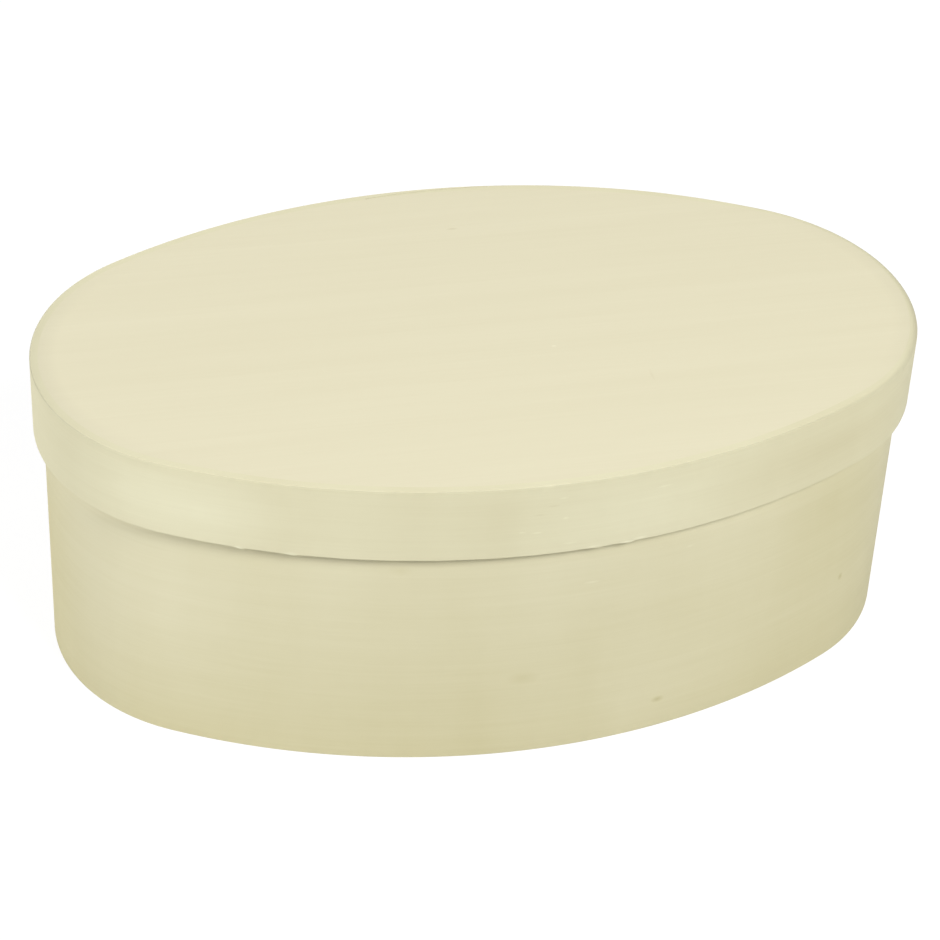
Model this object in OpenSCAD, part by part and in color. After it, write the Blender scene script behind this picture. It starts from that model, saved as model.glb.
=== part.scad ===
// Oval bentwood box with a lift-off lid.
// The base and the lid are each an oval board glued inside a strip of thin wood.
// Each strip is bent round its board, and its two ends are thinned, lapped and glued.
// Origin: centre of the underside. X runs along the length, Y to the back and Z up.

/* [Overall size] */
// Length over the lid
lid_length = 200; // [160:1:260]
// Width over the lid
lid_width = 120; // [100:1:150]
// Height with the lid on
box_height = 75; // [50:1:140]

/* [Lid] */
// Height of the strip round the lid
lid_band_height = 18; // [10:0.5:30]
// Thickness of the strip round the lid
lid_band_thickness = 1.8; // [1.4:0.1:3]
// Thickness of the board in the top of the lid
lid_board_thickness = 3; // [2:0.1:6]
// Radius sanded on the upper outer edge of the lid
lid_edge_radius = 1.2; // [0.6:0.1:1.4]
// Gap all round between the strip of the lid and the strip of the base
lid_clearance = 0.5; // [0.3:0.05:1.5]

/* [Base] */
// Thickness of the strip round the base
base_band_thickness = 1.8; // [1.4:0.1:3]
// Thickness of the bottom board
base_board_thickness = 3; // [2:0.1:6]

/* [Joints and edges] */
// Length over which the ends of a strip lap at the back
lap_length = 30; // [15:1:45]
// Thickness left at the blunt tip of each thinned end
lap_tip = 0.3; // [0.2:0.05:0.5]
// Width of every glue line
glue_line = 0.1; // [0.05:0.01:0.2]
// Width of the bevel that sanding leaves on the open edges
edge_break = 0.3; // [0.1:0.05:0.4]

/* [Hidden] */
$fn = 240;
// How far a cutter reaches past the surface that it cuts
cut_margin = 1;
// Colours of the bare wood, across a board and along a strip
board_colour = [0.91, 0.89, 0.78];
strip_colour = [0.88, 0.85, 0.73];

// The outside of the lid is an oval of four arcs, struck with compasses from two
// equilateral triangles: each end arc turns through 120 degrees and each side arc
// through 60. Every other outline is the same oval, set in by a distance.
half_length = lid_length / 2;
half_width = lid_width / 2;
end_turn = 120;
side_turn = 180 - end_turn;
end_radius = (half_width - (2 - sqrt(3)) * half_length) / (sqrt(3) - 1);
end_centre = half_length - end_radius;
side_centre = sqrt(3) * end_centre;
side_radius = half_width + side_centre;

// How far each outline is set in from the outside of the lid
lid_board_inset = lid_band_thickness + glue_line;
base_band_inset = lid_band_thickness + lid_clearance;
base_board_inset = base_band_inset + base_band_thickness + glue_line;

// The lid's board rests on the upper edge of the base's strip
base_band_height = box_height - lid_board_thickness;
lid_band_bottom = box_height - lid_band_height;

function thousandths(v) = [for (x = v) round(x * 1000) / 1000];

// A move in whole thousandths and then by the rest, so that arcs meet without a step
module place(v) {
    translate(thousandths(v))
        translate(v - thousandths(v))
            children();
}

// Carries a section round the oval. The outside of the lid is at x = 0 in the section.
module round_the_oval() {
    for (half = [0, 180]) {
        rotate(half)
            place([end_centre, 0, 0])
                rotate_extrude(start = -end_turn / 2, angle = end_turn)
                    place([end_radius, 0, 0])
                        children();
        rotate(half)
            place([0, -side_centre, 0])
                rotate_extrude(start = end_turn / 2, angle = side_turn)
                    place([side_radius, 0, 0])
                        children();
    }
}

// A flat oval board, its edge set in from the outside of the lid
module oval_board(inset, thickness) {
    end_r = end_radius - inset;
    side_r = side_radius - inset;
    // Where the end arcs and the side arcs meet
    meet_x = end_centre + end_r * cos(end_turn / 2);
    intersection() {
        intersection_for (side = [-1, 1]) {
            place([0, side * side_centre, 0])
                cylinder(h = thickness, r = side_r);
        }
        place([-meet_x, -half_width, 0])
            cube([2 * meet_x, lid_width, thickness]);
    }
    for (end = [-1, 1]) {
        place([end * end_centre, 0, 0])
            cylinder(h = thickness, r = end_r);
    }
}

// Section of a strip, its outer face on x = 0, with a bevel at each listed corner
module strip_section(thickness, height, open_edges) {
    difference() {
        translate([-thickness, 0])
            square([thickness, height]);
        for (corner = open_edges) {
            translate(corner)
                rotate(45)
                    square(edge_break * sqrt(2), center = true);
        }
    }
}

// What sanding takes off a square corner at the origin to leave it round
module corner_waste(radius) {
    difference() {
        translate([-radius, -radius])
            square(radius + cut_margin);
        translate([-radius, -radius])
            circle(radius);
    }
}

// The glue line where the thinned ends of a strip lap at the back. It slants from a
// blunt tip in the outer face to one in the inner face, along an arc whose centre is
// moved sideways from that of the strip.
module lap_seam(inset, thickness, height) {
    outer_r = side_radius - inset;
    middle_r = outer_r - thickness / 2;
    shift = (thickness - 2 * lap_tip) * middle_r / lap_length;
    slant_r = norm([middle_r, shift]);
    tip_x = lap_length / 2;
    cut_height = height + 2 * cut_margin;
    outer_tip_y = sqrt(slant_r ^ 2 - (tip_x - shift) ^ 2) - side_centre;
    inner_tip_y = sqrt(slant_r ^ 2 - (tip_x + shift) ^ 2) - side_centre;
    tip_depth = lap_tip + thickness;

    translate([0, 0, -cut_margin]) {
        // The slanting glue line
        intersection() {
            place([shift, -side_centre, 0]) {
                difference() {
                    cylinder(h = cut_height, r = slant_r + glue_line / 2);
                    translate([0, 0, -cut_margin])
                        cylinder(h = cut_height + 2 * cut_margin, r = slant_r - glue_line / 2);
                }
            }
            translate([-tip_x, 0, 0])
                cube([lap_length, half_width, cut_height]);
        }
        // The blunt tip in the outer face
        translate([tip_x - glue_line, outer_tip_y, 0])
            cube([glue_line, tip_depth, cut_height]);
        // The blunt tip in the inner face
        translate([-tip_x, inner_tip_y - tip_depth, 0])
            cube([glue_line, tip_depth, cut_height]);
    }
}

// Bottom board of the box, flush with the lower edge of its strip
module base_board() {
    color(board_colour)
        oval_board(base_board_inset, base_board_thickness);
}

// Bent strip that makes the sides of the box
module base_band() {
    color(strip_colour)
        difference() {
            round_the_oval()
                translate([-base_band_inset, 0])
                    strip_section(
                        base_band_thickness,
                        base_band_height,
                        [[0, 0], [0, base_band_height], [-base_band_thickness, base_band_height]]
                    );
            lap_seam(base_band_inset, base_band_thickness, base_band_height);
        }
}

// Top board of the lid, flush with the upper edge of its strip
module lid_board() {
    color(board_colour)
        translate([0, 0, base_band_height])
            oval_board(lid_board_inset, lid_board_thickness);
}

// Bent strip round the lid, which hangs over the sides of the box
module lid_band() {
    color(strip_colour)
        translate([0, 0, lid_band_bottom])
            difference() {
                round_the_oval()
                    difference() {
                        strip_section(
                            lid_band_thickness,
                            lid_band_height,
                            [[0, 0], [-lid_band_thickness, 0]]
                        );
                        translate([0, lid_band_height])
                            corner_waste(lid_edge_radius);
                    }
                lap_seam(0, lid_band_thickness, lid_band_height);
            }
}

base_board();
base_band();
lid_board();
lid_band();
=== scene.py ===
"""Models an oval bentwood box with a lift-off lid, its bare wood and the stage that it stands on."""

import math

import bmesh
import bpy
from bpy.props import FloatProperty, FloatVectorProperty, PointerProperty
from mathutils import Matrix, Vector


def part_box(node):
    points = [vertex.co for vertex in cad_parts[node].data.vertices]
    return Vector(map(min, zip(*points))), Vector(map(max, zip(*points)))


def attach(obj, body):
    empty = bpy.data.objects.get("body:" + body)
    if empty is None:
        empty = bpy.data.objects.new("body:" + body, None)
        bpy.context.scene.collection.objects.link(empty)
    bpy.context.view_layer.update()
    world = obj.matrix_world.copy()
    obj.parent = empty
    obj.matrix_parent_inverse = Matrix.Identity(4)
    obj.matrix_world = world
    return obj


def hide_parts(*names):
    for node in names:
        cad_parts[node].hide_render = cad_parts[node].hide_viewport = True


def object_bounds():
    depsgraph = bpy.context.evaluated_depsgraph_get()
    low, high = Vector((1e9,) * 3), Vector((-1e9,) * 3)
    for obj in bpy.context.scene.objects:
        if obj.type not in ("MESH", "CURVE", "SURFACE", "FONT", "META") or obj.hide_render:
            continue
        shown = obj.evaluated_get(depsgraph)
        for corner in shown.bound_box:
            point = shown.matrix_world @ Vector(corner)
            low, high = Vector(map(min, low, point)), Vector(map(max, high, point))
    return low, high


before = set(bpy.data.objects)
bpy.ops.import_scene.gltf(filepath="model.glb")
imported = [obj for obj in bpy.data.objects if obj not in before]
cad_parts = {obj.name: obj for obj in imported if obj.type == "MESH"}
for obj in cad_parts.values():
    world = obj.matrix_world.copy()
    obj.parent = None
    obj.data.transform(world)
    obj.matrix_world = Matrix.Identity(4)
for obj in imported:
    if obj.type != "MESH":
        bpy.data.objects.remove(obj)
CAD_LOW, CAD_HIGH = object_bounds()
LID_BAND_LOW, LID_BAND_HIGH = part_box("lid_band")
LID_BOARD_LOW, LID_BOARD_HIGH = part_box("lid_board")
BASE_BAND_LOW, BASE_BAND_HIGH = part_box("base_band")
BASE_BOARD_LOW, BASE_BOARD_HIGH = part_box("base_board")
MM = 0.001
QUARTER_TURN = math.pi / 2
# Two measures that differ by less than this count as the same
SAME_MEASURE = 0.03 * MM
# Points closer than this merge where one arc of the oval meets the next
ARC_MERGE = 0.05 * MM
# Points closer than this merge after a cut
CUT_MERGE = 0.005 * MM
# Rows of faces across each rounded edge
LID_EDGE_ROWS = 8
STRIP_EDGE_ROWS = 3
BOARD_EDGE_ROWS = 2
# Faces that meet at less than this angle are shaded as one smooth face
SMOOTH_ANGLE = math.radians(40)
# The camera shows nothing nearer than this
CLIP_START = 10 * MM
# The lamps, whose settings start with these names
LAMPS = ("key", "top", "side", "left", "back")
WHITE = (1, 1, 1, 1)
# Marks on a piece: how far its points are deepened by a darker rim and by painted shade on the round of its
# edge, and how far its edges are rounded
RIM_AND_SHADE_MARK = "sanded"
ROUNDED_MARK = "bevel_weight_edge"

bl_info = {
    "name": "Oval bentwood box",
    "version": (1, 0, 0),
    "blender": (4, 5, 0),
    "location": "View3D > Sidebar > Bentwood box",
    "description": "Models the boards and bent strips of an oval wooden box and sets its stage",
    "category": "Add Mesh",
}


class BoxSizes(bpy.types.PropertyGroup):
    """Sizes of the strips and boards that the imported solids' boxes don't give by themselves"""

    strip_thickness: FloatProperty(
        name="Strip thickness",
        description="Thickness of both bent strips",
        default=1.8 * MM,
        unit="LENGTH",
    )
    edge_break: FloatProperty(
        name="Edge break",
        description="Radius that sanding leaves on the open edges of the strips",
        default=0.15 * MM,
        unit="LENGTH",
    )
    crisp_radius: FloatProperty(
        name="Crisp lid radius",
        description="Radius on the upper edge of the lid along its front and back",
        default=0.15 * MM,
        unit="LENGTH",
    )
    left_radius: FloatProperty(
        name="Left lid radius",
        description="Radius on the upper edge of the lid at its left end",
        default=0.4 * MM,
        unit="LENGTH",
    )
    right_radius: FloatProperty(
        name="Right lid radius",
        description="Radius on the upper edge of the lid at its right end",
        default=1.6 * MM,
        unit="LENGTH",
    )
    crisp_from: FloatProperty(
        name="Crisp from",
        description="Where the crisp stretch of the lid's edge starts on the left",
        default=-57 * MM,
        unit="LENGTH",
    )
    crisp_to: FloatProperty(
        name="Crisp to",
        description="Where the crisp stretch of the lid's edge ends on the right",
        default=55 * MM,
        unit="LENGTH",
    )
    chip_radius: FloatProperty(
        name="Chip radius",
        description="Radius where the crisp edge of the lid is chipped",
        default=0.45 * MM,
        unit="LENGTH",
    )
    sawn_depth: FloatProperty(
        name="Sawn depth",
        description="How far the sawn lower edge of the lid wanders up and down",
        default=0.15 * MM,
        unit="LENGTH",
    )
    sawn_wave: FloatProperty(
        name="Sawn wave",
        description="Length of one wave of the sawn lower edge of the lid",
        default=2 * MM,
        unit="LENGTH",
    )
    board_edge_break: FloatProperty(
        name="Board edge break",
        description="Radius on the edges of the boards, where they meet the strips",
        default=0.01 * MM,
        unit="LENGTH",
    )
    board_rim: FloatProperty(
        name="Board rim",
        description="Width of the ring of faces round the edge of a board",
        default=4 * MM,
        unit="LENGTH",
    )
    bend_step: FloatProperty(
        name="Bend step",
        description="Length of one face along a bent strip",
        default=0.8 * MM,
        unit="LENGTH",
    )
    rise_step: FloatProperty(
        name="Rise step",
        description="Height of one face of a strip",
        default=2.4 * MM,
        unit="LENGTH",
    )
    lap_length: FloatProperty(
        name="Lap length",
        description="Length over which the thinned ends of a strip lap at the back",
        default=30 * MM,
        unit="LENGTH",
    )
    lap_tip: FloatProperty(
        name="Lap tip",
        description="Thickness left at the blunt tip of each thinned end",
        default=0.3 * MM,
        unit="LENGTH",
    )
    glue_line: FloatProperty(
        name="Glue line",
        description="Width of the glue line in a lap",
        default=0.15 * MM,
        unit="LENGTH",
    )


class WoodFinish(bpy.types.PropertyGroup):
    """Colours and surface of the bare wood"""

    board_pale: FloatVectorProperty(
        name="Pale board",
        description="Colour of the palest fibres of the boards",
        default=(0.822, 0.775, 0.570),
        subtype="COLOR",
    )
    board_deep: FloatVectorProperty(
        name="Deep board",
        description="Colour of the deepest fibres of the boards",
        default=(0.744, 0.690, 0.483),
        subtype="COLOR",
    )
    lid_pale: FloatVectorProperty(
        name="Pale lid",
        description="Colour of the palest fibres of the lid's strip",
        default=(0.829, 0.792, 0.557),
        subtype="COLOR",
    )
    lid_deep: FloatVectorProperty(
        name="Deep lid",
        description="Colour of the deepest fibres of the lid's strip",
        default=(0.752, 0.705, 0.473),
        subtype="COLOR",
    )
    base_pale: FloatVectorProperty(
        name="Pale base",
        description="Colour of the palest fibres of the base's strip",
        default=(0.829, 0.786, 0.560),
        subtype="COLOR",
    )
    base_deep: FloatVectorProperty(
        name="Deep base",
        description="Colour of the deepest fibres of the base's strip",
        default=(0.752, 0.704, 0.466),
        subtype="COLOR",
    )
    roughness: FloatProperty(
        name="Roughness",
        description="Roughness of the sanded surface",
        default=0.72,
        subtype="FACTOR",
        min=0,
        max=1,
    )
    specular: FloatProperty(
        name="Specular",
        description="Strength of the shine on the sanded surface",
        default=0.25,
        subtype="FACTOR",
        min=0,
        max=1,
    )
    fibre_strength: FloatProperty(
        name="Fibre strength",
        description="How strongly the raised fibres turn the light",
        default=0.6,
        subtype="FACTOR",
        min=0,
        max=1,
    )
    fibre_depth: FloatProperty(
        name="Fibre depth",
        description="Depth of the raised fibres",
        default=0.03 * MM,
        unit="LENGTH",
    )


class StageSetup(bpy.types.PropertyGroup):
    """The camera, the lamps and the floor"""

    azimuth: FloatProperty(
        name="Azimuth",
        description="How far the camera stands round from the front of the box",
        default=math.radians(-14.333),
        subtype="ANGLE",
    )
    elevation: FloatProperty(
        name="Elevation",
        description="How far the camera looks down",
        default=math.radians(36.387),
        subtype="ANGLE",
    )
    roll: FloatProperty(
        name="Roll",
        description="How far the camera leans",
        default=math.radians(2.875),
        subtype="ANGLE",
    )
    distance: FloatProperty(
        name="Distance",
        description="From the camera to the point that it looks at",
        default=671.148 * MM,
        unit="LENGTH",
    )
    target: FloatVectorProperty(
        name="Target",
        description="The point that the camera looks at",
        default=(-2.543 * MM, -5.831 * MM, 40 * MM),
        subtype="TRANSLATION",
    )
    lens: FloatProperty(
        name="Lens",
        description="Focal length in millimetres",
        default=112.85,
        unit="CAMERA",
    )
    key_power: FloatProperty(
        name="Key power",
        description="Power of the soft lamp above the front right",
        default=19.2,
        unit="POWER",
    )
    key_azimuth: FloatProperty(
        name="Key azimuth",
        description="How far the soft lamp above the front right stands round from the front of the box",
        default=math.radians(25),
        subtype="ANGLE",
    )
    key_elevation: FloatProperty(
        name="Key elevation",
        description="How high the soft lamp above the front right stands",
        default=math.radians(44),
        subtype="ANGLE",
    )
    key_width: FloatProperty(
        name="Key width",
        description="Width of the soft lamp above the front right",
        default=0.56,
        unit="LENGTH",
    )
    top_power: FloatProperty(
        name="Top power",
        description="Power of the broad lamp over the box",
        default=4.3,
        unit="POWER",
    )
    top_azimuth: FloatProperty(
        name="Top azimuth",
        description="How far the broad lamp over the box stands round from the front of the box",
        default=0,
        subtype="ANGLE",
    )
    top_elevation: FloatProperty(
        name="Top elevation",
        description="How high the broad lamp over the box stands",
        default=math.radians(90),
        subtype="ANGLE",
    )
    top_width: FloatProperty(
        name="Top width",
        description="Width of the broad lamp over the box",
        default=1.16,
        unit="LENGTH",
    )
    side_power: FloatProperty(
        name="Side power",
        description="Power of the lamp between the front and the left",
        default=4.2,
        unit="POWER",
    )
    side_azimuth: FloatProperty(
        name="Side azimuth",
        description="How far the lamp between the front and the left stands round from the front of the box",
        default=math.radians(-75),
        subtype="ANGLE",
    )
    side_elevation: FloatProperty(
        name="Side elevation",
        description="How high the lamp between the front and the left stands",
        default=math.radians(24),
        subtype="ANGLE",
    )
    side_width: FloatProperty(
        name="Side width",
        description="Width of the lamp between the front and the left",
        default=0.56,
        unit="LENGTH",
    )
    left_power: FloatProperty(
        name="Left power",
        description="Power of the low soft lamp on the left",
        default=9.7,
        unit="POWER",
    )
    left_azimuth: FloatProperty(
        name="Left azimuth",
        description="How far the low soft lamp on the left stands round from the front of the box",
        default=math.radians(-90),
        subtype="ANGLE",
    )
    left_elevation: FloatProperty(
        name="Left elevation",
        description="How high the low soft lamp on the left stands",
        default=math.radians(16),
        subtype="ANGLE",
    )
    left_width: FloatProperty(
        name="Left width",
        description="Width of the low soft lamp on the left",
        default=0.85,
        unit="LENGTH",
    )
    back_power: FloatProperty(
        name="Back power",
        description="Power of the low soft lamp behind",
        default=10,
        unit="POWER",
    )
    back_azimuth: FloatProperty(
        name="Back azimuth",
        description="How far the low soft lamp behind stands round from the front of the box",
        default=math.radians(180),
        subtype="ANGLE",
    )
    back_elevation: FloatProperty(
        name="Back elevation",
        description="How high the low soft lamp behind stands",
        default=math.radians(6),
        subtype="ANGLE",
    )
    back_width: FloatProperty(
        name="Back width",
        description="Width of the low soft lamp behind",
        default=0.56,
        unit="LENGTH",
    )
    lamp_distance: FloatProperty(
        name="Lamp distance",
        description="From each lamp to the middle of the box",
        default=1.6,
        unit="LENGTH",
    )
    room_light: FloatProperty(
        name="Room light",
        description="Strength of the even light from all round",
        default=0.133,
    )
    floor_grey: FloatProperty(
        name="Floor grey",
        description="How much light the floor throws back",
        default=0.53,
        subtype="FACTOR",
        min=0,
        max=1,
    )
    floor_shadow: FloatProperty(
        name="Floor shadow",
        description="Share of the floor's white that a shadow can take away",
        default=0.15,
        subtype="FACTOR",
        min=0,
        max=1,
    )
    shadow_reach: FloatProperty(
        name="Shadow reach",
        description="How far from the middle of the box the floor still shows a shadow",
        default=1.2,
        unit="LENGTH",
    )
    floor_size: FloatProperty(
        name="Floor size",
        description="Width of the floor",
        default=8,
        unit="LENGTH",
    )


def oval_arcs(half_length, half_width):
    """Centre, radius and turn of each arc of the lid's oval, from the right-hand end round by the back."""
    # The centres are the corners of two equilateral triangles that share a side along the box
    root = math.sqrt(3)
    end_radius = (half_width - (2 - root) * half_length) / (root - 1)
    end_centre = half_length - end_radius
    side_centre = root * end_centre
    side_radius = half_width + side_centre
    sixth = math.radians(60)
    return (
        (Vector((end_centre, 0, 0)), end_radius, sixth),
        (Vector((0, -side_centre, 0)), side_radius, sixth),
        (Vector((-end_centre, 0, 0)), end_radius, 2 * sixth),
        (Vector((0, side_centre, 0)), side_radius, sixth),
        (Vector((end_centre, 0, 0)), end_radius, sixth),
    )


# Chips in the lid's front edge: how far along the box and half the length of each, in millimetres
EDGE_CHIPS = (
    (-63.6, 1),
    (-56.7, 1.6),
    (-49.9, 3),
    (-32, 1.6),
    (-26.2, 2),
    (-5.8, 1.6),
    (-2.2, 2.6),
    (2.6, 1.2),
    (12.4, 1.4),
    (21.9, 2),
    (30.9, 1.6),
)
# Torn fibres on the lid's lower front edge: from where to where along the box and the drop, in millimetres
TORN_FIBRES = (
    (-63, -61.4, 0.45),
    (-53.8, -50.4, 0.3),
    (10, 13.4, 0.2),
    (17.4, 20.4, 0.3),
)
# How far the right end of the lid is darkened towards its rim, as a share of the left end
RIGHT_RIM_SHARE = 0.7
# How far the upper edge of the lid's strip is sanded all round
STRIP_SANDED = 0.25
# Strength of the painted shade on the round of the lid's upper edge, which takes away its highlight, before
# its slope is counted
EDGE_PAINTED_SHADE = 2.7
# Power by which the darker rim at the lid's ends dies away along the box
END_FADE = 3
# The top is darkened less where the upright part of its normal is under this
STEEP_FACE = 0.5
# Height of the rim that the saw leaves along the lid's lower edge, in edge breaks
SAWN_RIM = 1.5
LID_OVAL = oval_arcs(LID_BAND_HIGH.x, -LID_BAND_LOW.y)
END_CENTRE, END_RADIUS, END_TURN = LID_OVAL[0]
BACK_CENTRE, SIDE_RADIUS = LID_OVAL[1][:2]


def inset_from_lid(place):
    """How far a place lies in from the outer face of the lid."""
    past_centre = Vector((abs(place.x) - END_CENTRE.x, abs(place.y)))
    if past_centre.y < math.tan(END_TURN) * past_centre.x:
        return END_RADIUS - past_centre.length
    return SIDE_RADIUS - math.hypot(place.x, abs(place.y) - BACK_CENTRE.y)


def near(a, b):
    """Whether two measures are the same, to a few hundredths of a millimetre."""
    return abs(a - b) < SAME_MEASURE


def pick_only(piece):
    """Selects one piece alone and makes it the active one."""
    bpy.ops.object.select_all(action="DESELECT")
    piece.select_set(True)
    bpy.context.view_layer.objects.active = piece


def apply_modifier(piece, kind, **settings):
    """Adds a modifier with its settings and applies it."""
    pick_only(piece)
    bpy.ops.object.modifier_add(type=kind)
    modifier = piece.modifiers[-1]
    for name, value in settings.items():
        setattr(modifier, name, value)
    bpy.ops.object.modifier_apply(modifier=modifier.name)


def add_section(name, inner_x, outer_x, bottom, top):
    """Starts a piece as the outline of its upright section at the right-hand end, in edit mode."""
    bpy.ops.object.select_all(action="DESELECT")
    middle = ((inner_x + outer_x) / 2, 0, (bottom + top) / 2)
    bpy.ops.mesh.primitive_plane_add(size=1, location=middle, rotation=(QUARTER_TURN, 0, 0))
    piece = bpy.context.object
    piece.name = name
    piece.data.name = name
    piece.scale = (outer_x - inner_x, top - bottom, 1)
    bpy.ops.object.transform_apply(location=True, rotation=True, scale=True)
    bpy.ops.object.mode_set(mode="EDIT")
    bpy.ops.mesh.select_all(action="SELECT")
    bpy.ops.mesh.delete(type="ONLY_FACE")
    return piece


def select_edges(piece, test):
    """In edit mode, selects only the edges whose two ends pass the test."""
    bpy.ops.mesh.select_mode(type="EDGE")
    bpy.ops.mesh.select_all(action="DESELECT")
    mesh = bmesh.from_edit_mesh(piece.data)
    for edge in mesh.edges:
        edge.select_set(test(edge.verts[0].co, edge.verts[1].co))
    mesh.select_flush_mode()
    bmesh.update_edit_mesh(piece.data)


def carry_round_oval():
    """Carries the whole section round the oval and closes it on itself."""
    step = bpy.context.scene.bentbox_sizes.bend_step
    bpy.ops.mesh.select_all(action="SELECT")
    for centre, radius, turn in LID_OVAL:
        steps = round(radius * turn / step)
        bpy.ops.mesh.spin(steps=steps, angle=-turn, center=centre, axis=(0, 0, 1))
    bpy.ops.mesh.select_all(action="SELECT")
    bpy.ops.mesh.remove_doubles(threshold=ARC_MERGE)


def face_outwards():
    """In edit mode, turns all faces outwards."""
    bpy.ops.mesh.select_all(action="SELECT")
    bpy.ops.mesh.normals_make_consistent(inside=False)


def round_edges(piece, inset, level, radius_at, rows):
    """Rounds the edge that runs round the oval at an inset and a level, by a radius for each place."""
    bpy.ops.object.mode_set(mode="EDIT")
    mesh = bmesh.from_edit_mesh(piece.data)
    weight = mesh.edges.layers.float.new(ROUNDED_MARK)
    widest = max(radius_at(vertex.co) for vertex in mesh.verts)
    for edge in mesh.edges:
        ends = [vertex.co for vertex in edge.verts]
        if all(near(end.z, level) and near(inset_from_lid(end), inset) for end in ends):
            edge[weight] = radius_at((ends[0] + ends[1]) / 2) / widest
    bmesh.update_edit_mesh(piece.data)
    bpy.ops.object.mode_set(mode="OBJECT")
    apply_modifier(
        piece,
        "BEVEL",
        limit_method="WEIGHT",
        offset_type="OFFSET",
        use_clamp_overlap=False,
        width=widest,
        segments=rows,
    )
    piece.data.attributes.remove(piece.data.attributes[ROUNDED_MARK])


def bend_strip(name, outer_x, bottom, top):
    """A strip with square edges, bent round the oval."""
    sizes = bpy.context.scene.bentbox_sizes
    piece = add_section(name, outer_x - sizes.strip_thickness, outer_x, bottom, top)
    select_edges(piece, lambda a, b: near(a.x, b.x))
    bpy.ops.mesh.subdivide(number_cuts=round((top - bottom) / sizes.rise_step) - 1)
    carry_round_oval()
    face_outwards()
    bpy.ops.object.mode_set(mode="OBJECT")
    return piece


def end_softness(along):
    """Nothing along the crisp front and back of the lid's edge, rising to one at its two ends."""
    sizes = bpy.context.scene.bentbox_sizes
    left = (sizes.crisp_from - along) / (sizes.crisp_from - LID_BAND_LOW.x)
    right = (along - sizes.crisp_to) / (LID_BAND_HIGH.x - sizes.crisp_to)
    return min(max(left, right, 0), 1)


def upper_radius(place):
    """Radius of the lid's upper edge: crisp along the front and back, softer at the ends and at each chip."""
    sizes = bpy.context.scene.bentbox_sizes
    end_radius = sizes.left_radius if place.x < 0 else sizes.right_radius
    radius = sizes.crisp_radius + (end_radius - sizes.crisp_radius) * end_softness(place.x)
    if place.y < 0:
        for along, half_length in EDGE_CHIPS:
            share = 1 - ((place.x / MM - along) / half_length) ** 2
            radius = max(radius, sizes.chip_radius * share)
    return radius


def mark_rim_and_shade(piece, top, all_round):
    """Marks how far the top of a piece is darkened: a share all round, a darker rim towards its ends, and
    painted shade on the round of its edge.
    """
    sizes = bpy.context.scene.bentbox_sizes
    rim = sizes.strip_thickness + sizes.board_rim
    sanded = piece.data.attributes.new(RIM_AND_SHADE_MARK, "FLOAT", "POINT")
    for vertex, mark in zip(piece.data.vertices, sanded.data):
        place, upright = vertex.co, vertex.normal.z
        inset = inset_from_lid(place)
        radius = upper_radius(place)
        if top - place.z < radius:
            share = max(1 - inset / rim, 0) * end_softness(place.x) ** END_FADE
            if place.x > 0:
                share *= RIGHT_RIM_SHARE
            mark.value = (share + all_round) * min(upright / STEEP_FACE, 1)
            if inset < radius:
                # Painted shade on the round, deepest in its middle where its highlight would be brightest,
                # and least where it runs into the faces
                mark.value += EDGE_PAINTED_SHADE * upright * (1 - upright ** 2)


def fray_lower_edge(piece, level):
    """Makes the sawn lower edge of the lid uneven, with torn fibres that hang from its front."""
    sizes = bpy.context.scene.bentbox_sizes
    rim_top = level + SAWN_RIM * sizes.edge_break
    group = piece.vertex_groups.new(name="sawn_edge")
    group.add([vertex.index for vertex in piece.data.vertices if vertex.co.z < rim_top], 1, "REPLACE")
    waves = bpy.data.textures.new("sawn_edge", "CLOUDS")
    waves.noise_scale = sizes.sawn_wave
    apply_modifier(
        piece,
        "DISPLACE",
        direction="Z",
        strength=sizes.sawn_depth,
        texture=waves,
        vertex_group=group.name,
    )
    piece.vertex_groups.clear()
    bpy.data.textures.remove(waves)
    bpy.ops.object.mode_set(mode="EDIT")
    for start, end, drop in TORN_FIBRES:
        # Each pull starts further along, so that the tear deepens along its length and ends abruptly
        pulls = round((end - start) * MM / sizes.bend_step)
        for pull in range(pulls):
            first = start + (end - start) * pull / pulls
            select_edges(
                piece,
                lambda a, b: max(a.z, b.z) < rim_top
                and max(a.y, b.y) < 0
                and min(a.x, b.x) > first * MM
                and max(a.x, b.x) < end * MM,
            )
            bpy.ops.transform.translate(value=(0, 0, -drop * MM / pulls))
    bpy.ops.object.mode_set(mode="OBJECT")


def cut_away(piece, cutter):
    """Takes the shape of a cutter out of a piece and removes the cutter."""
    apply_modifier(piece, "BOOLEAN", operation="DIFFERENCE", solver="EXACT", object=cutter)
    bpy.data.meshes.remove(cutter.data)


def merge_touching(piece):
    """Merges the points of a piece that touch, which closes the slivers that a cut leaves."""
    pick_only(piece)
    bpy.ops.object.mode_set(mode="EDIT")
    bpy.ops.mesh.select_all(action="SELECT")
    bpy.ops.mesh.remove_doubles(threshold=CUT_MERGE)
    bpy.ops.object.mode_set(mode="OBJECT")


def on_arc(centre, radius, angle):
    """The place on a level arc at an angle from straight back."""
    return centre + radius * Vector((math.sin(angle), math.cos(angle), 0))


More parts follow.
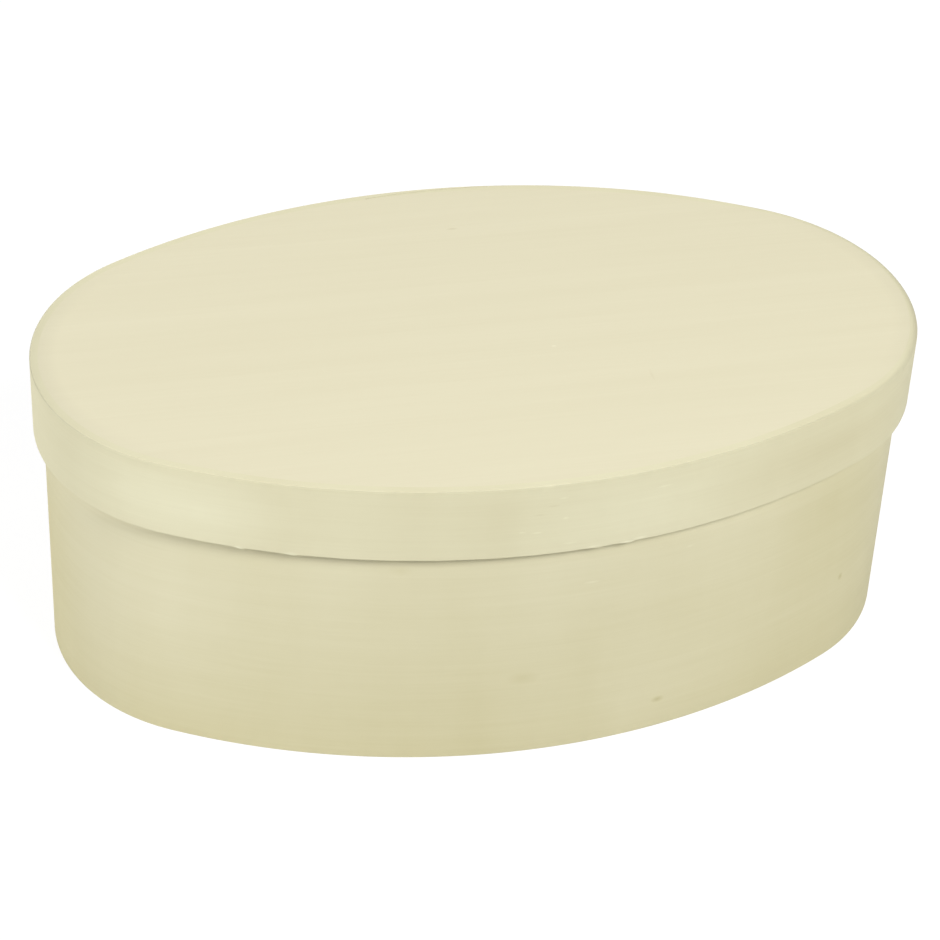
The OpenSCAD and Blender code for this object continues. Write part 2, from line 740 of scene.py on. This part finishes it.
def cut_lap_seam(piece, outer_x, bottom, top):
    """Cuts the glue line where the thinned ends of a strip lap at the back, with a blunt tip at each end."""
    sizes = bpy.context.scene.bentbox_sizes
    reach = sizes.strip_thickness
    height = top - bottom + 2 * reach
    half_lap = sizes.lap_length / 2
    middle_radius = SIDE_RADIUS - (LID_BAND_HIGH.x - outer_x) - sizes.strip_thickness / 2
    shift = (sizes.strip_thickness - 2 * sizes.lap_tip) * middle_radius / sizes.lap_length
    slant_radius = math.hypot(middle_radius, shift)
    slant_centre = BACK_CENTRE + Vector((shift, 0, 0))
    start_angle = math.asin((-half_lap - shift) / slant_radius)
    end_angle = math.asin((half_lap - shift) / slant_radius)
    mid_height = Vector((0, 0, (bottom + top) / 2))
    start = on_arc(slant_centre, slant_radius, start_angle) + mid_height
    end = on_arc(slant_centre, slant_radius, end_angle) + mid_height

    # The slanting glue line, spun about a centre that is moved sideways from that of the strip
    bpy.ops.object.select_all(action="DESELECT")
    bpy.ops.mesh.primitive_plane_add(size=1, location=start, rotation=(0, QUARTER_TURN, 0))
    blade = bpy.context.object
    blade.scale = (height, sizes.glue_line, 1)
    bpy.ops.object.transform_apply(location=True, rotation=True, scale=True)
    bpy.ops.object.mode_set(mode="EDIT")
    bpy.ops.mesh.select_all(action="SELECT")
    steps = round(sizes.lap_length / sizes.bend_step)
    bpy.ops.mesh.spin(steps=steps, angle=end_angle - start_angle, center=slant_centre, axis=(0, 0, 1))
    face_outwards()
    bpy.ops.object.mode_set(mode="OBJECT")
    cut_away(piece, blade)

    # The blunt tip in the inner face, and then the one in the outer face
    for tip, way in ((start, -1), (end, 1)):
        bpy.ops.object.select_all(action="DESELECT")
        place = tip + Vector((0, way * reach / 2, 0))
        bpy.ops.mesh.primitive_cube_add(size=1, location=place, scale=(sizes.glue_line, reach, height))
        cut_away(piece, bpy.context.object)
    merge_touching(piece)


def finish_piece(piece, material, body, node):
    """Shades a piece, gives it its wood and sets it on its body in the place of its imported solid."""
    pick_only(piece)
    bpy.ops.object.shade_smooth_by_angle(angle=SMOOTH_ANGLE)
    apply_modifier(piece, "WEIGHTED_NORMAL", keep_sharp=True)
    piece.data.materials.append(material)
    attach(piece, body)
    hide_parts(node)


class BENTBOX_OT_lid_strip(bpy.types.Operator):
    """Bend the strip that hangs round the lid"""

    bl_idname = "bentbox.lid_strip"
    bl_label = "Lid strip"

    def execute(self, context):
        sizes = context.scene.bentbox_sizes
        outer_x, bottom, top = LID_BAND_HIGH.x, LID_BAND_LOW.z, LID_BAND_HIGH.z
        piece = bend_strip("lid_strip", outer_x, bottom, top)
        round_edges(piece, 0, top, upper_radius, LID_EDGE_ROWS)
        for inset in (0, sizes.strip_thickness):
            round_edges(piece, inset, bottom, lambda place: sizes.edge_break, STRIP_EDGE_ROWS)
        fray_lower_edge(piece, bottom)
        cut_lap_seam(piece, outer_x, bottom, top)
        # Marks the darker top and rim, and the painted shade on the round of the upper edge
        mark_rim_and_shade(piece, top, STRIP_SANDED)
        finish_piece(piece, lid_strip_wood(), "lid", "lid_band")
        return {"FINISHED"}


class BENTBOX_OT_base_strip(bpy.types.Operator):
    """Bend the strip that makes the sides of the box"""

    bl_idname = "bentbox.base_strip"
    bl_label = "Base strip"

    def execute(self, context):
        sizes = context.scene.bentbox_sizes
        outer_x, bottom, top = BASE_BAND_HIGH.x, BASE_BAND_LOW.z, BASE_BAND_HIGH.z
        outer_inset = LID_BAND_HIGH.x - outer_x
        inner_inset = outer_inset + sizes.strip_thickness
        piece = bend_strip("base_strip", outer_x, bottom, top)
        for inset, level in ((outer_inset, bottom), (outer_inset, top), (inner_inset, top)):
            round_edges(piece, inset, level, lambda place: sizes.edge_break, STRIP_EDGE_ROWS)
        cut_lap_seam(piece, outer_x, bottom, top)
        finish_piece(piece, base_strip_wood(), "base", "base_band")
        return {"FINISHED"}


def cut_board(name, outer_x, bottom, top):
    """An oval board, from the section of its rim carried round the oval and filled above and below."""
    sizes = bpy.context.scene.bentbox_sizes
    inner_x = outer_x - sizes.board_rim
    piece = add_section(name, inner_x, outer_x, bottom, top)
    select_edges(piece, lambda a, b: near(a.x, inner_x) and near(b.x, inner_x))
    bpy.ops.mesh.delete(type="EDGE")
    carry_round_oval()
    # No sides given means holes with any number of sides
    bpy.ops.mesh.fill_holes(sides=0)
    face_outwards()
    bpy.ops.object.mode_set(mode="OBJECT")
    inset = LID_BAND_HIGH.x - outer_x
    for level in (bottom, top):
        round_edges(piece, inset, level, lambda place: sizes.board_edge_break, BOARD_EDGE_ROWS)
    return piece


class BENTBOX_OT_lid_panel(bpy.types.Operator):
    """Cut the board in the top of the lid"""

    bl_idname = "bentbox.lid_panel"
    bl_label = "Lid panel"

    def execute(self, context):
        outer_x = LID_BAND_HIGH.x - context.scene.bentbox_sizes.strip_thickness
        piece = cut_board("lid_panel", outer_x, LID_BOARD_LOW.z, LID_BOARD_HIGH.z)
        mark_rim_and_shade(piece, LID_BOARD_HIGH.z, 0)
        finish_piece(piece, lid_panel_wood(), "lid", "lid_board")
        return {"FINISHED"}


class BENTBOX_OT_base_panel(bpy.types.Operator):
    """Cut the bottom board of the box"""

    bl_idname = "bentbox.base_panel"
    bl_label = "Base panel"

    def execute(self, context):
        outer_x = BASE_BAND_HIGH.x - context.scene.bentbox_sizes.strip_thickness
        piece = cut_board("base_panel", outer_x, BASE_BOARD_LOW.z, BASE_BOARD_HIGH.z)
        finish_piece(piece, base_panel_wood(), "base", "base_board")
        return {"FINISHED"}


# Marks in the wood: place and half-size in millimetres, and how far each is paler or, below zero, deeper
LID_PANEL_MARKS = (
    ((2.3, 41.4, 75), (1.6, 0.5, 1), -1.2),
    ((32.6, -24.3, 75), (0.5, 2.4, 1), -0.4),
    ((14.1, -9.9, 75), (0.7, 0.5, 1), 1.0),
)
LID_STRIP_MARKS = (
    # Broad patches of painted sheen where the veneer turns to the light, and painted shade at the front and
    # right end, that set how bright each stretch looks
    ((-70, -43.5, 65), (20, 20, 13), 1.0),
    ((-85, -33.7, 66), (16, 16, 13), 0.5),
    ((24, -58.2, 65), (24, 24, 13), 0.7),
    ((-9.3, -59.7, 66), (12, 12, 12), -0.3),
    ((70, -47, 65), (38, 38, 13), -0.9),
    # Small flecks and pale fibres in the wood
    ((4, -59.9, 71.4), (1.3, 1.3, 0.3), 0.8),
    ((4.8, -59.9, 66.1), (0.8, 0.8, 0.35), 0.9),
    ((2, -60, 69.6), (1.6, 1.6, 0.3), -0.7),
    ((-0.9, -60, 67.6), (1.4, 1.4, 0.3), -0.6),
    ((-4.5, -59.9, 63.4), (0.9, 0.9, 0.3), 0.8),
    ((-1.3, -60, 63), (1.4, 1.4, 0.3), 1.0),
    ((26.6, -57.7, 70.1), (2.2, 2.2, 0.35), 0.7),
    ((6.1, -59.9, 59.3), (1.8, 1.8, 0.35), 0.5),
    # Pale dashes along the torn lower edge: paler torn fibres, with a painted highlight along the edge
    ((-62.3, -46.9, 57), (1, 1, 0.6), 1.6),
    ((-51.9, -51, 57.2), (2, 2, 0.6), 1.0),
    ((11.4, -59.5, 57.5), (2.2, 2.2, 0.4), 1.0),
    ((18.8, -58.9, 57.1), (2, 2, 0.5), 1.4),
    ((21.9, -58.4, 57.6), (2, 2, 0.4), 1.2),
)
BASE_STRIP_MARKS = (
    # Broad patches: painted shade at the left and right ends, and painted light on the front left and low on
    # the front right
    ((-97, 3, 38), (26, 26, 45), -1.0),
    ((74, -40, 46), (30, 30, 30), -0.8),
    ((-79, -35, 32), (30, 30, 32), 0.5),
    ((27, -55, 8), (38, 38, 24), 0.5),
    # Small flecks and pale fibres in the wood
    ((30.8, -54.6, 7.8), (1.8, 1.8, 1), -1.7),
    ((78.3, -35.9, 21.9), (0.9, 0.9, 1.2), -1.5),
    ((-1.5, -57.7, 21.3), (4, 4, 2), -0.6),
    ((-29.2, -54.9, 52.6), (3, 3, 1.5), -0.5),
    ((12.5, -57.2, 45.8), (2.2, 2.2, 0.4), 0.9),
    ((35, -53.6, 49.9), (1.2, 1.2, 0.4), 0.6),
)
# Grain of the boards, along the length of the box
BOARD_GRAIN = (
    ((7, 160, 160), 4, 0.55, 0.5),
    ((30, 1500, 1500), 3, 0.6, 0.35),
)
BOARD_FIBRES = (40, 2200, 2200)
# Grain of the strips, round the box, with soft upright patches of painted sheen where the fibres turn to the
# light
STRIP_GRAIN = (
    ((55, 55, 10), 3, 0.5, 0.8),
    ((20, 20, 300), 4, 0.55, 0.5),
    ((40, 40, 1600), 3, 0.6, 0.5),
)
STRIP_FIBRES = (60, 60, 2200)
# Detail and roughness of the noise that raises the fibres
FIBRE_DETAIL = 4
FIBRE_ROUGHNESS = 0.6
# Tone of plain wood, half-way from deep to pale
MIDDLE_TONE = 0.5
# Painted shade: how far the tone of the base's strip changes from the lid's lower edge down to its foot
FOOT_PAINTED_SHADE = -1.1
# Share of its colour that the wood keeps where the darker rim and the painted shade on the edge are full
RIM_AND_SHADE_KEPT = 0.875
# Brightness of the floor where it is seen, a little over white
FLOOR_WHITE = 1.05
# Sockets of a mix node: its share, then the two inputs and the result for numbers and for colours
MIX_SHARE = 0
NUMBER_A, NUMBER_B, NUMBER_RESULT = 2, 3, 0
COLOUR_A, COLOUR_B, COLOUR_RESULT = 6, 7, 2


def new_material(name):
    """A node material with its surface shader."""
    material = bpy.data.materials.new(name)
    material.use_nodes = True
    return material, material.node_tree, material.node_tree.nodes["Principled BSDF"]


def feed(tree, value, socket):
    """Links an input to an output, or sets it to a plain value."""
    if isinstance(value, bpy.types.NodeSocket):
        tree.links.new(value, socket)
    else:
        socket.default_value = value


def own_space(tree):
    """Places in the piece's own space."""
    return tree.nodes.new("ShaderNodeTexCoord").outputs["Object"]


def noise_along(tree, scale, detail, roughness):
    """Noise in the piece's own space, with so many features per metre along each axis."""
    mapping = tree.nodes.new("ShaderNodeMapping")
    mapping.inputs["Scale"].default_value = scale
    noise = tree.nodes.new("ShaderNodeTexNoise")
    noise.inputs["Scale"].default_value = 1
    noise.inputs["Detail"].default_value = detail
    noise.inputs["Roughness"].default_value = roughness
    tree.links.new(own_space(tree), mapping.inputs["Vector"])
    tree.links.new(mapping.outputs["Vector"], noise.inputs["Vector"])
    return noise.outputs["Fac"]


def add_to_tone(tree, tone, layer, amount):
    """Adds a layer times an amount to the tone so far, which is a number at first and an output later."""
    node = tree.nodes.new("ShaderNodeMath")
    node.operation = "MULTIPLY_ADD"
    node.inputs[1].default_value = amount
    tree.links.new(layer, node.inputs[0])
    feed(tree, tone, node.inputs[2])
    return node.outputs[0]


def mix_colours(tree, share, first, second, blend="MIX"):
    """Mixes two colours by a share, which may run past nothing and one."""
    mix = tree.nodes.new("ShaderNodeMix")
    mix.data_type = "RGBA"
    mix.blend_type = blend
    mix.clamp_factor = False
    tree.links.new(share, mix.inputs[MIX_SHARE])
    feed(tree, first, mix.inputs[COLOUR_A])
    feed(tree, second, mix.inputs[COLOUR_B])
    return mix.outputs[COLOUR_RESULT]


def soft_spot(tree, place, half_size):
    """One in the middle of a soft oval spot, falling to nothing at its edge."""
    mapping = tree.nodes.new("ShaderNodeMapping")
    mapping.vector_type = "TEXTURE"
    mapping.inputs["Location"].default_value = place
    mapping.inputs["Scale"].default_value = half_size
    gradient = tree.nodes.new("ShaderNodeTexGradient")
    gradient.gradient_type = "SPHERICAL"
    tree.links.new(own_space(tree), mapping.inputs["Vector"])
    tree.links.new(mapping.outputs["Vector"], gradient.inputs["Vector"])
    return gradient.outputs["Fac"]


def height_share(tree, start, end):
    """Nothing at one level, changing evenly to one at another."""
    split = tree.nodes.new("ShaderNodeSeparateXYZ")
    share = tree.nodes.new("ShaderNodeMapRange")
    share.inputs["From Min"].default_value = start
    share.inputs["From Max"].default_value = end
    tree.links.new(own_space(tree), split.inputs["Vector"])
    tree.links.new(split.outputs["Z"], share.inputs["Value"])
    return share.outputs["Result"]


def rim_and_shade_share(tree):
    """How far the wood is darkened by its darker rim and by painted shade on the round of its edge."""
    attribute = tree.nodes.new("ShaderNodeAttribute")
    attribute.attribute_name = RIM_AND_SHADE_MARK
    return attribute.outputs["Fac"]


class BareWood:
    """A material of bare sanded wood, whose tone runs from deep at zero to pale at one."""

    def __init__(self, name, layers):
        """Each layer of grain gives the scale of its noise, the detail, the roughness and the amount."""
        self.material, self.tree, self.shader = new_material(name)
        # Noise is a half on average, so half of each amount comes off the tone first
        self.tone = MIDDLE_TONE - sum(amount for scale, detail, roughness, amount in layers) / 2
        for scale, detail, roughness, amount in layers:
            self.add(noise_along(self.tree, scale, detail, roughness), amount)

    def add(self, layer, amount):
        """Adds a layer times an amount to the tone."""
        self.tone = add_to_tone(self.tree, self.tone, layer, amount)

    def add_marks(self, marks):
        """Adds soft spots, each with its place and half-size in millimetres and how far it is paler."""
        for place, half_size, amount in marks:
            self.add(soft_spot(self.tree, Vector(place) * MM, Vector(half_size) * MM), amount)

    def finish(self, pale, deep, fibre_scale):
        """Colours the wood by its tone, and raises its fibres."""
        surface = bpy.context.scene.bentbox_wood
        links = self.tree.links
        colour = mix_colours(self.tree, self.tone, (*deep, 1), (*pale, 1))
        links.new(colour, self.shader.inputs["Base Color"])
        self.shader.inputs["Roughness"].default_value = surface.roughness
        self.shader.inputs["Specular IOR Level"].default_value = surface.specular
        fibres = noise_along(self.tree, fibre_scale, FIBRE_DETAIL, FIBRE_ROUGHNESS)
        bump = self.tree.nodes.new("ShaderNodeBump")
        bump.inputs["Strength"].default_value = surface.fibre_strength
        bump.inputs["Distance"].default_value = surface.fibre_depth
        links.new(fibres, bump.inputs["Height"])
        links.new(bump.outputs["Normal"], self.shader.inputs["Normal"])

    def deepen_rim_and_shade(self):
        """Deepens the finished wood by its darker rim and by the painted shade on the round of its edge, and
        keeps its hue.
        """
        colour = self.shader.inputs["Base Color"]
        plain = colour.links[0].from_socket
        shade = (RIM_AND_SHADE_KEPT, RIM_AND_SHADE_KEPT, RIM_AND_SHADE_KEPT, 1)
        deeper = mix_colours(self.tree, rim_and_shade_share(self.tree), plain, shade, "MULTIPLY")
        self.tree.links.new(deeper, colour)


def lid_panel_wood():
    """The board in the top of the lid, darker towards its rim at the ends."""
    colours = bpy.context.scene.bentbox_wood
    wood = BareWood("lid_panel_wood", BOARD_GRAIN)
    wood.add_marks(LID_PANEL_MARKS)
    wood.finish(colours.board_pale, colours.board_deep, BOARD_FIBRES)
    wood.deepen_rim_and_shade()
    return wood.material


def base_panel_wood():
    """The bottom board of the box."""
    colours = bpy.context.scene.bentbox_wood
    wood = BareWood("base_panel_wood", BOARD_GRAIN)
    wood.finish(colours.board_pale, colours.board_deep, BOARD_FIBRES)
    return wood.material


def lid_strip_wood():
    """The strip round the lid, darker along its top and towards its ends, with painted shade on the round of
    its upper edge.
    """
    colours = bpy.context.scene.bentbox_wood
    wood = BareWood("lid_strip_wood", STRIP_GRAIN)
    wood.add_marks(LID_STRIP_MARKS)
    wood.finish(colours.lid_pale, colours.lid_deep, STRIP_FIBRES)
    # Darker top and rim, and painted shade that takes the highlight off the round of the upper edge
    wood.deepen_rim_and_shade()
    return wood.material


def base_strip_wood():
    """The strip round the base, with painted shade that deepens it towards its foot."""
    colours = bpy.context.scene.bentbox_wood
    wood = BareWood("base_strip_wood", STRIP_GRAIN)
    # Painted shade, deeper towards the foot
    wood.add(height_share(wood.tree, LID_BAND_LOW.z, BASE_BAND_LOW.z), FOOT_PAINTED_SHADE)
    wood.add_marks(BASE_STRIP_MARKS)
    wood.finish(colours.base_pale, colours.base_deep, STRIP_FIBRES)
    return wood.material


def seen_directly(tree):
    """One for what the camera sees, straight or in gloss or glass, and nothing for the light on the box."""
    path = tree.nodes.new("ShaderNodeLightPath")
    total = path.outputs["Is Camera Ray"]
    for name in ("Is Glossy Ray", "Is Transmission Ray"):
        larger = tree.nodes.new("ShaderNodeMath")
        larger.operation = "MAXIMUM"
        tree.links.new(total, larger.inputs[0])
        tree.links.new(path.outputs[name], larger.inputs[1])
        total = larger.outputs[0]
    return total


def blend_when_seen(tree, unseen, seen):
    """A number for the light on the box, and another number or an output for what the camera sees."""
    blend = tree.nodes.new("ShaderNodeMix")
    blend.inputs[NUMBER_A].default_value = unseen
    feed(tree, seen, blend.inputs[NUMBER_B])
    tree.links.new(seen_directly(tree), blend.inputs[MIX_SHARE])
    return blend.outputs[NUMBER_RESULT]


def floor_paper():
    """Pale paper that keeps a soft shadow near the box and is lifted to white where it is seen."""
    setup = bpy.context.scene.bentbox_stage
    material, tree, shader = new_material("floor_paper")
    shader.inputs["Roughness"].default_value = 1
    shader.inputs["Specular IOR Level"].default_value = 0
    shader.inputs["Emission Color"].default_value = WHITE
    near_box = soft_spot(tree, Vector(), Vector((1, 1, 1)) * setup.shadow_reach)
    shadow = add_to_tone(tree, 0, near_box, setup.floor_shadow)
    white = add_to_tone(tree, FLOOR_WHITE, near_box, -setup.floor_shadow)
    tree.links.new(blend_when_seen(tree, setup.floor_grey, shadow), shader.inputs["Base Color"])
    tree.links.new(blend_when_seen(tree, 0, white), shader.inputs["Emission Strength"])
    return material


def direction(azimuth, elevation):
    """The unit vector from the box towards a place round it."""
    flat = math.cos(elevation)
    return Vector((math.sin(azimuth) * flat, -math.cos(azimuth) * flat, math.sin(elevation)))


def add_camera(setup):
    """The camera at the height, side and lean of the picture."""
    back = direction(setup.azimuth, setup.elevation)
    camera = bpy.data.objects.new("camera", bpy.data.cameras.new("camera"))
    bpy.context.scene.collection.objects.link(camera)
    camera.data.lens = setup.lens
    camera.data.clip_start = CLIP_START
    look = (-back).to_track_quat("-Z", "Y").to_matrix().to_4x4()
    place = Matrix.Translation(Vector(setup.target) + back * setup.distance)
    camera.matrix_world = place @ look @ Matrix.Rotation(setup.roll, 4, "Z")
    bpy.context.scene.camera = camera


def add_lamp(setup, name):
    """A soft lamp that faces the middle of the box, with the settings that start with its name."""
    lamp = bpy.data.lights.new(name, "AREA")
    lamp.energy = getattr(setup, name + "_power")
    lamp.shape = "DISK"
    lamp.size = getattr(setup, name + "_width")
    holder = bpy.data.objects.new(name, lamp)
    bpy.context.scene.collection.objects.link(holder)
    towards = direction(getattr(setup, name + "_azimuth"), getattr(setup, name + "_elevation"))
    holder.location = (CAD_LOW + CAD_HIGH) / 2 + towards * setup.lamp_distance
    holder.rotation_euler = towards.to_track_quat("Z", "Y").to_euler()
    holder.visible_camera = False


def set_room_light(setup):
    """Even light from all round, seen as white."""
    world = bpy.data.worlds.new("room")
    bpy.context.scene.world = world
    world.use_nodes = True
    tree = world.node_tree
    background = tree.nodes["Background"]
    background.inputs["Color"].default_value = WHITE
    tree.links.new(blend_when_seen(tree, setup.room_light, 1), background.inputs["Strength"])


class BENTBOX_OT_stage(bpy.types.Operator):
    """Set the floor, the lamps and the camera"""

    bl_idname = "bentbox.stage"
    bl_label = "Stage"

    def execute(self, context):
        setup = context.scene.bentbox_stage
        context.scene.view_settings.view_transform = "Standard"
        bpy.ops.object.select_all(action="DESELECT")
        bpy.ops.mesh.primitive_plane_add(size=setup.floor_size, location=(0, 0, CAD_LOW.z))
        floor = context.object
        floor.name = "floor"
        floor.data.materials.append(floor_paper())
        add_camera(setup)
        for name in LAMPS:
            add_lamp(setup, name)
        set_room_light(setup)
        return {"FINISHED"}


class BENTBOX_PT_panel(bpy.types.Panel):
    """Lists the sizes, the finish, the stage and the pieces of the box"""

    bl_idname = "BENTBOX_PT_panel"
    bl_label = "Bentwood box"
    bl_space_type = "VIEW_3D"
    bl_region_type = "UI"
    bl_category = "Bentwood box"

    def draw(self, context):
        scene = context.scene
        for settings in (scene.bentbox_sizes, scene.bentbox_wood, scene.bentbox_stage):
            box = self.layout.box()
            for name in settings.__annotations__:
                box.prop(settings, name)
        for operator in OPERATORS:
            self.layout.operator(operator.bl_idname)


OPERATORS = (
    BENTBOX_OT_stage,
    BENTBOX_OT_base_panel,
    BENTBOX_OT_base_strip,
    BENTBOX_OT_lid_panel,
    BENTBOX_OT_lid_strip,
)
CLASSES = (BoxSizes, WoodFinish, StageSetup, *OPERATORS, BENTBOX_PT_panel)


def register():
    """Registers the classes and the settings on the scene."""
    for cls in CLASSES:
        bpy.utils.register_class(cls)
    bpy.types.Scene.bentbox_sizes = PointerProperty(type=BoxSizes)
    bpy.types.Scene.bentbox_wood = PointerProperty(type=WoodFinish)
    bpy.types.Scene.bentbox_stage = PointerProperty(type=StageSetup)


def unregister():
    """Takes away the settings and the classes."""
    del bpy.types.Scene.bentbox_stage
    del bpy.types.Scene.bentbox_wood
    del bpy.types.Scene.bentbox_sizes
    for cls in reversed(CLASSES):
        bpy.utils.unregister_class(cls)


def main():
    """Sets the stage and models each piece."""
    register()
    bpy.ops.bentbox.stage()
    bpy.ops.bentbox.base_panel()
    bpy.ops.bentbox.base_strip()
    bpy.ops.bentbox.lid_panel()
    bpy.ops.bentbox.lid_strip()


if __name__ == "__main__":
    main()
